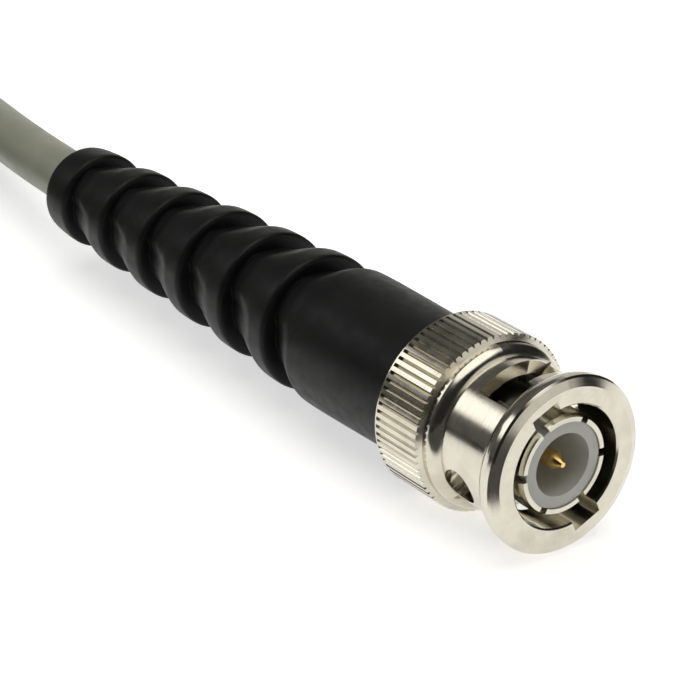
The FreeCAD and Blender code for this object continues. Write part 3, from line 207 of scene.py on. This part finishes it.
def boot_outline(in_pocket):
    """The boot's outer line, from front to rear, along a web or along the pockets."""
    points = [
        (BOOT_START, BOOT_FRONT_RADIUS - 0.3),
        (BOOT_START, BOOT_FRONT_RADIUS),
        (BOOT_START + 1.0, BOOT_FRONT_RADIUS),
        (BOOT_SWELL, BOOT_SWELL_RADIUS),
    ]
    before = BOOT_SWELL_RADIUS
    for index, (crest, foot, floor) in enumerate(zip(RIB_RADII, FOOT_RADII, POCKET_RADII)):
        flank = FIRST_FLANK + RIB_PITCH * index
        reach = REACH if index else FIRST_REACH
        if in_pocket:
            points += [
                (flank - reach - 0.5, before - 0.02),
                (flank - reach, before - 0.06),
                (flank - reach * 0.7, before * 0.67 + floor * 0.33),
                (flank - reach * 0.35, before * 0.25 + floor * 0.75),
                (flank + 0.02, floor - 0.01),
                (flank + 0.09, floor - 0.01),
                (flank + 0.1, floor + 0.04),
            ]
        else:
            points += [
                (flank - 4.0, before - 0.15),
                (flank - 3.0, before - 0.35),
                (flank - 1.9, before * 0.5 + foot * 0.5),
                (flank - 0.8, foot + 0.12),
                (flank + 0.02, foot - 0.03),
                (flank + 0.09, foot - 0.03),
                (flank + 0.1, foot + 0.02),
            ]
        points += [
            (flank + 0.15, crest - 0.25),
            (flank + 0.35, crest),
            (flank + 1.0, crest),
        ]
        before = crest
    points += [
        (BOOT_END - 2.2, RIB_RADII[-1] - 0.03),
        (BOOT_END - 0.8, RIB_RADII[-1] - 0.15),
        (BOOT_END - 0.15, RIB_RADII[-1] - 0.3),
        (BOOT_END, RIB_RADII[-1] - 0.65),
        (BOOT_END, BOOT_END_RADIUS - 0.3),
    ]
    return rounded(points)


def smooth_step(value):
    value = min(max(value, 0.0), 1.0)
    return value * value * (3 - 2 * value)


def pocket_share(angle):
    """0 on a web and 1 in the pockets, for a direction in degrees from +Y towards +Z."""
    share = 1.0
    for web in WEB_DIRECTIONS:
        off = (angle - web + 180) % 360 - 180
        fade = LOWER_FADE if off > 0 else UPPER_FADE
        share = min(share, smooth_step((abs(off) - WEB_HALF_WIDTH + fade * 0.7) / (2 * fade)))
    return share


def make_boot():
    web = boot_outline(False)
    pocket = boot_outline(True)
    vertices = []
    for side in range(BOOT_SIDES):
        angle = 360 * side / BOOT_SIDES
        share = pocket_share(angle)
        across = math.cos(math.radians(angle))
        up = math.sin(math.radians(angle))
        outer = []
        for (web_x, web_r), (pocket_x, pocket_r) in zip(web, pocket):
            outer.append((web_x + (pocket_x - web_x) * share, web_r + (pocket_r - web_r) * share))
        for station, radius in outer + BOOT_BORE:
            height = radius * up - DROOP * smooth_step((station - DROOP_START) / DROOP_RUN)
            vertices.append((-station * MM, radius * across * MM, height * MM))
    ring = len(web) + len(BOOT_BORE)
    faces = []
    for side in range(BOOT_SIDES):
        here = side * ring
        there = (side + 1) % BOOT_SIDES * ring
        for index in range(ring):
            after = (index + 1) % ring
            faces.append((here + index, here + after, there + after, there + index))
    data = bpy.data.meshes.new("boot")
    data.from_pydata(vertices, [], faces)
    data.shade_smooth()
    boot = bpy.data.objects.new("boot", data)
    bpy.context.scene.collection.objects.link(boot)
    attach(boot, ROOT)
    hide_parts("plug_boot")
    return boot


# The two springs, each a still copy of its node: node, joint, the x of the fixed end and the other end's
# travel.

SPRINGS = [
    ("wave_washer", "nut_draw", -12.3, 0.35),
    ("hook_spring", "hook_retract", -9.5, 6.0),
]


def make_spring(node, joint, fixed_x, travel):
    """A spring of the node's own shape, copied as it stands."""
    spring = bpy.data.objects.new("sprung_" + node, frame["nodes"][node].data.copy())
    bpy.context.scene.collection.objects.link(spring)
    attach(spring, ROOT)
    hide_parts(node)
    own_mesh(spring)
    return spring


# Grip ridges across the top of the switch knob, half round, each sunk a little into it.

RIDGE_COUNT = 5
RIDGE_PITCH = 0.72
RIDGE_RADIUS = 0.2
RIDGE_SINK = 0.05
RIDGE_INSET = 0.25
RIDGE_STEPS = 8


def make_ridges():
    low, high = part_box("switch_knob")
    middle = (low[0] + high[0]) / 2
    near = low[1] + RIDGE_INSET * MM
    far = high[1] - RIDGE_INSET * MM
    vertices = []
    faces = []
    for index in range(RIDGE_COUNT):
        centre = middle + (index - (RIDGE_COUNT - 1) / 2) * RIDGE_PITCH * MM
        first = len(vertices)
        for across in (near, far):
            for step in range(RIDGE_STEPS + 1):
                angle = math.pi * step / RIDGE_STEPS
                rise = RIDGE_RADIUS * math.sin(angle) - RIDGE_SINK
                reach = RIDGE_RADIUS * math.cos(angle)
                vertices.append((centre + reach * MM, across, high[2] + rise * MM))
        count = RIDGE_STEPS + 1
        for step in range(count):
            after = (step + 1) % count
            faces.append((first + step, first + after, first + count + after, first + count + step))
        faces.append(tuple(first + step for step in reversed(range(count))))
        faces.append(tuple(first + count + step for step in range(count)))
    data = bpy.data.meshes.new("knob_ridges")
    data.from_pydata(vertices, [], faces)
    ridges = bpy.data.objects.new("knob_ridges", data)
    bpy.context.scene.collection.objects.link(ridges)
    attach(ridges, "switch_knob")
    return ridges


# Materials. Their scales are per metre and their depths are metres.

GRAIN_STRENGTH = 0.25
PLAIN_SPECULAR = 0.5

# Distance between a wave texture's bands at scale 1.
WAVE_PERIOD = math.pi / 10


def new_material(name):
    material = bpy.data.materials.new(name)
    material.use_nodes = True
    nodes = material.node_tree.nodes
    return material, nodes, material.node_tree.links, nodes["Principled BSDF"]


def noise(nodes, links, scale, detail=3.0, roughness=0.5):
    """Noise in the piece's own coordinates."""
    where = nodes.new("ShaderNodeTexCoord")
    texture = nodes.new("ShaderNodeTexNoise")
    texture.inputs["Scale"].default_value = scale
    texture.inputs["Detail"].default_value = detail
    texture.inputs["Roughness"].default_value = roughness
    links.new(where.outputs["Object"], texture.inputs["Vector"])
    return texture.outputs["Fac"]


def ramp(nodes, links, source, low, high, start=0.35, end=0.65):
    """Colours from low to high as the source goes from start to end."""
    node = nodes.new("ShaderNodeValToRGB")
    node.color_ramp.elements[0].position = start
    node.color_ramp.elements[0].color = (*low, 1.0)
    node.color_ramp.elements[1].position = end
    node.color_ramp.elements[1].color = (*high, 1.0)
    links.new(source, node.inputs["Fac"])
    return node.outputs["Color"]


def streaks(nodes, links, stretch, detail):
    """Noise drawn out by its own scale along each axis."""
    where = nodes.new("ShaderNodeTexCoord")
    mapping = nodes.new("ShaderNodeMapping")
    mapping.inputs["Scale"].default_value = stretch
    texture = nodes.new("ShaderNodeTexNoise")
    texture.inputs["Scale"].default_value = 1.0
    texture.inputs["Detail"].default_value = detail
    links.new(where.outputs["Object"], mapping.inputs["Vector"])
    links.new(mapping.outputs["Vector"], texture.inputs["Vector"])
    return texture.outputs["Fac"]


def bump(nodes, links, source, shader, strength, depth):
    node = nodes.new("ShaderNodeBump")
    node.inputs["Strength"].default_value = strength
    node.inputs["Distance"].default_value = depth
    links.new(source, node.inputs["Height"])
    links.new(node.outputs["Normal"], shader.inputs["Normal"])


def moulded(
    name,
    low,
    high,
    rough_low,
    rough_high,
    patch=300.0,
    grain=9000.0,
    depth=0.00002,
    metallic=0.0,
    specular=PLAIN_SPECULAR,
):
    """A surface whose colour and gloss drift a little, with a fine grain."""
    material, nodes, links, shader = new_material(name)
    shader.inputs["Metallic"].default_value = metallic
    shader.inputs["Specular IOR Level"].default_value = specular
    patches = noise(nodes, links, patch)
    links.new(ramp(nodes, links, patches, low, high), shader.inputs["Base Color"])
    gloss = ramp(nodes, links, noise(nodes, links, patch * 3), (rough_low,) * 3, (rough_high,) * 3)
    links.new(gloss, shader.inputs["Roughness"])
    bump(nodes, links, noise(nodes, links, grain), shader, strength=GRAIN_STRENGTH, depth=depth)
    return material


def turned_metal(name, low, high, rough_low, rough_high):
    """Plated metal that was turned: fine lines round the X axis, patches of haze and a few dull specks."""
    material, nodes, links, shader = new_material(name)
    shader.inputs["Metallic"].default_value = 1.0
    haze = noise(nodes, links, 450.0, detail=5.0, roughness=0.6)
    links.new(ramp(nodes, links, haze, low, high, start=0.3, end=0.6), shader.inputs["Base Color"])
    lines = streaks(nodes, links, (9000.0, 250.0, 250.0), detail=4.0)
    blur = nodes.new("ShaderNodeMix")
    blur.inputs[0].default_value = 0.55
    links.new(lines, blur.inputs[2])
    links.new(haze, blur.inputs[3])
    gloss = ramp(nodes, links, blur.outputs[0], (rough_low,) * 3, (rough_high,) * 3)
    links.new(gloss, shader.inputs["Roughness"])
    bump(nodes, links, lines, shader, strength=0.3, depth=0.000006)
    return material


def woven(name, low, high, pitch):
    """Band of coarse threads: one set across it, along Y, and one set the way that it wraps."""
    material, nodes, links, shader = new_material(name)
    shader.inputs["Specular IOR Level"].default_value = 0.3
    shader.inputs["Roughness"].default_value = 0.75
    where = nodes.new("ShaderNodeTexCoord")
    threads = []
    for stretch in ((0.0, 1.0, 0.0), (1.0, 0.0, 1.0)):
        mapping = nodes.new("ShaderNodeMapping")
        mapping.inputs["Scale"].default_value = stretch
        wave = nodes.new("ShaderNodeTexWave")
        wave.bands_direction = "DIAGONAL"
        wave.inputs["Scale"].default_value = WAVE_PERIOD / (pitch * MM)
        wave.inputs["Distortion"].default_value = 1.5
        wave.inputs["Detail Scale"].default_value = 3.0
        links.new(where.outputs["Object"], mapping.inputs["Vector"])
        links.new(mapping.outputs["Vector"], wave.inputs["Vector"])
        threads.append(wave.outputs["Fac"])
    cloth = nodes.new("ShaderNodeMath")
    cloth.operation = "MULTIPLY"
    links.new(threads[0], cloth.inputs[0])
    links.new(threads[1], cloth.inputs[1])
    colour = ramp(nodes, links, cloth.outputs[0], low, high, start=0.05, end=0.8)
    links.new(colour, shader.inputs["Base Color"])
    bump(nodes, links, cloth.outputs[0], shader, strength=0.6, depth=0.00015)
    return material


LOOKS = {
    "nickel": turned_metal("nickel", (0.57, 0.54, 0.45), (0.69, 0.655, 0.55), 0.1, 0.24),
    "gold": moulded("gold", (0.75, 0.5, 0.16), (0.9, 0.66, 0.26), 0.15, 0.25, metallic=1.0),
    "steel": moulded("steel", (0.45, 0.45, 0.44), (0.6, 0.6, 0.58), 0.2, 0.35, metallic=1.0),
    "gasket": moulded("gasket", (0.55, 0.53, 0.48), (0.62, 0.6, 0.55), 0.55, 0.65),
    "dielectric": moulded("dielectric", (0.69, 0.69, 0.64), (0.74, 0.74, 0.69), 0.4, 0.5),
    "boot_rubber": moulded(
        "boot_rubber", (0.005, 0.005, 0.005), (0.009, 0.009, 0.009), 0.4, 0.5, grain=14000.0, specular=0.22
    ),
    "cable_jacket": moulded("cable_jacket", (0.365, 0.382, 0.297), (0.405, 0.422, 0.33), 0.38, 0.5),
    "copper": moulded("copper", (0.6, 0.28, 0.15), (0.75, 0.38, 0.22), 0.25, 0.35, metallic=1.0),
    "strap": woven("strap", (0.01, 0.01, 0.011), (0.045, 0.045, 0.048), pitch=0.6),
    "handle_plastic": moulded(
        "handle_plastic", (0.018, 0.018, 0.02), (0.03, 0.03, 0.032), 0.36, 0.52, grain=5000.0, depth=0.00006
    ),
    "hook_plastic": moulded(
        "hook_plastic", (0.02, 0.02, 0.022), (0.03, 0.03, 0.032), 0.28, 0.4, grain=6000.0
    ),
    "knob_plastic": moulded("knob_plastic", (0.5, 0.5, 0.48), (0.6, 0.6, 0.57), 0.3, 0.4),
    "board": moulded("board", (0.015, 0.1, 0.04), (0.03, 0.16, 0.07), 0.3, 0.4),
    "ceramic": moulded("ceramic", (0.4, 0.28, 0.15), (0.5, 0.36, 0.2), 0.35, 0.45),
}


def dress(piece, look):
    piece.data.materials.clear()
    piece.data.materials.append(look)


# Floor and light

FLOOR_HALF = 1200.0 * MM
FLOOR_ROUGHNESS = 0.9
FLOOR_GLOW = 0.6

# In reflections the floor goes dark on one side, as the metal in the photograph shows: that side's direction,
# how far from the nut's face it starts to darken and is dark, and the share of its light that is left there.
# Painted shade: for glossy rays only, the floor's colour and glow are darkened on this side. It is a dark
# side of the room painted into the floor, which the metal shows as a painted reflection.
PAINTED_SHADE_SIDE = (0.75, -0.66, 0.0)
PAINTED_SHADE_START = 9.0 * MM
PAINTED_SHADE_END = 14.0 * MM
PAINTED_SHADE_SHARE = 0.06


def make_floor():
    data = bpy.data.meshes.new("floor")
    corners = [
        (-FLOOR_HALF, -FLOOR_HALF, 0),
        (FLOOR_HALF, -FLOOR_HALF, 0),
        (FLOOR_HALF, FLOOR_HALF, 0),
        (-FLOOR_HALF, FLOOR_HALF, 0),
    ]
    data.from_pydata(corners, [], [(0, 1, 2, 3)])
    floor = bpy.data.objects.new("floor", data)
    floor.location.z = FLOOR_Z
    bpy.context.scene.collection.objects.link(floor)
    material, nodes, links, shader = new_material("floor")
    shader.inputs["Roughness"].default_value = FLOOR_ROUGHNESS
    shader.inputs["Emission Color"].default_value = (1.0, 1.0, 1.0, 1.0)
    path = nodes.new("ShaderNodeLightPath")
    place = nodes.new("ShaderNodeNewGeometry")
    side = nodes.new("ShaderNodeVectorMath")
    side.operation = "DOT_PRODUCT"
    side.inputs[1].default_value = PAINTED_SHADE_SIDE
    links.new(place.outputs["Position"], side.inputs[0])
    painted_shade_reach = nodes.new("ShaderNodeMath")
    painted_shade_reach.operation = "MULTIPLY"
    links.new(side.outputs["Value"], painted_shade_reach.inputs[0])
    links.new(path.outputs["Is Glossy Ray"], painted_shade_reach.inputs[1])
    # Painted shade: towards the dark side, glossy rays see the floor's base colour and glow fall to a small
    # share. Camera rays and other rays see the floor evenly bright.
    share = nodes.new("ShaderNodeMapRange")
    share.interpolation_type = "SMOOTHSTEP"
    share.inputs["From Min"].default_value = PAINTED_SHADE_START
    share.inputs["From Max"].default_value = PAINTED_SHADE_END
    share.inputs["To Min"].default_value = 1.0
    share.inputs["To Max"].default_value = PAINTED_SHADE_SHARE
    links.new(painted_shade_reach.outputs[0], share.inputs["Value"])
    links.new(share.outputs["Result"], shader.inputs["Base Color"])
    seen = nodes.new("ShaderNodeMath")
    seen.operation = "MAXIMUM"
    links.new(path.outputs["Is Camera Ray"], seen.inputs[0])
    links.new(path.outputs["Is Glossy Ray"], seen.inputs[1])
    glow = nodes.new("ShaderNodeMath")
    glow.operation = "MULTIPLY"
    glow.inputs[1].default_value = FLOOR_GLOW
    links.new(seen.outputs[0], glow.inputs[0])
    fallen = nodes.new("ShaderNodeMath")
    fallen.operation = "MULTIPLY"
    links.new(glow.outputs[0], fallen.inputs[0])
    links.new(share.outputs["Result"], fallen.inputs[1])
    links.new(fallen.outputs[0], shader.inputs["Emission Strength"])
    data.materials.append(material)


ROOM_LIGHT = 0.02
ROOM_COLOUR = (1.0, 0.985, 0.96, 1.0)

# Soft lights of the room: the direction of each, the angles within which it is full and beyond which it ends,
# and its strength.
ROOM_GLOWS = [
    ((0.0, 0.0, 1.0), 27.0, 37.0, 1.6),
    ((-0.74, 0.65, 0.17), 12.0, 27.0, 0.6),
    ((0.93, 0.33, 0.16), 14.0, 28.0, 0.8),
    ((-0.9, -0.2, 0.4), 30.0, 80.0, 0.08),
]


def make_world():
    world = bpy.data.worlds.new("world")
    bpy.context.scene.world = world
    world.use_nodes = True
    nodes = world.node_tree.nodes
    links = world.node_tree.links
    where = nodes.new("ShaderNodeTexCoord")
    total = None
    for toward, full, end, strength in ROOM_GLOWS:
        facing = nodes.new("ShaderNodeVectorMath")
        facing.operation = "DOT_PRODUCT"
        links.new(where.outputs["Generated"], facing.inputs[0])
        facing.inputs[1].default_value = Vector(toward).normalized()
        spread = nodes.new("ShaderNodeMapRange")
        spread.interpolation_type = "SMOOTHSTEP"
        spread.inputs["From Min"].default_value = math.cos(math.radians(end))
        spread.inputs["From Max"].default_value = math.cos(math.radians(full))
        spread.inputs["To Max"].default_value = strength
        links.new(facing.outputs["Value"], spread.inputs["Value"])
        add = nodes.new("ShaderNodeMath")
        links.new(spread.outputs["Result"], add.inputs[0])
        if total:
            links.new(total, add.inputs[1])
        else:
            add.inputs[1].default_value = ROOM_LIGHT
        total = add.outputs[0]
    nodes["Background"].inputs["Color"].default_value = ROOM_COLOUR
    links.new(total, nodes["Background"].inputs["Strength"])


# Key lamp: a panel above and beyond the boot's rear end, on the camera's left. Its distance, target and sides
# are metres.

LAMP_DIRECTION = Vector((-0.726, -0.472, 0.5))
LAMP_DISTANCE = 0.6
LAMP_TARGET = Vector((-0.01, 0.0, 0.0))
LAMP_WIDTH = 0.24
LAMP_DEPTH = 0.2
LAMP_POWER = 0.25


def make_lamp():
    data = bpy.data.lights.new("key", "AREA")
    data.shape = "RECTANGLE"
    data.size = LAMP_WIDTH
    data.size_y = LAMP_DEPTH
    data.energy = LAMP_POWER
    lamp = bpy.data.objects.new("key", data)
    lamp.location = LAMP_TARGET + LAMP_DIRECTION * LAMP_DISTANCE
    way = LAMP_TARGET - lamp.location
    lamp.rotation_euler = way.to_track_quat("-Z", "Y").to_euler()
    bpy.context.scene.collection.objects.link(lamp)


make_camera()
dress(make_cord(), LOOKS["cable_jacket"])
dress(make_boot(), LOOKS["boot_rubber"])
dress(make_ridges(), LOOKS["knob_plastic"])
for spring in SPRINGS:
    dress(make_spring(*spring), LOOKS["steel"])
for entry in frame["record"]["subparts"]:
    dress(frame["nodes"][entry["node"]], LOOKS[entry["material_slot"]])

make_floor()
make_world()
make_lamp()

bpy.context.scene.view_settings.view_transform = "Standard"

bpy.context.view_layer.update()
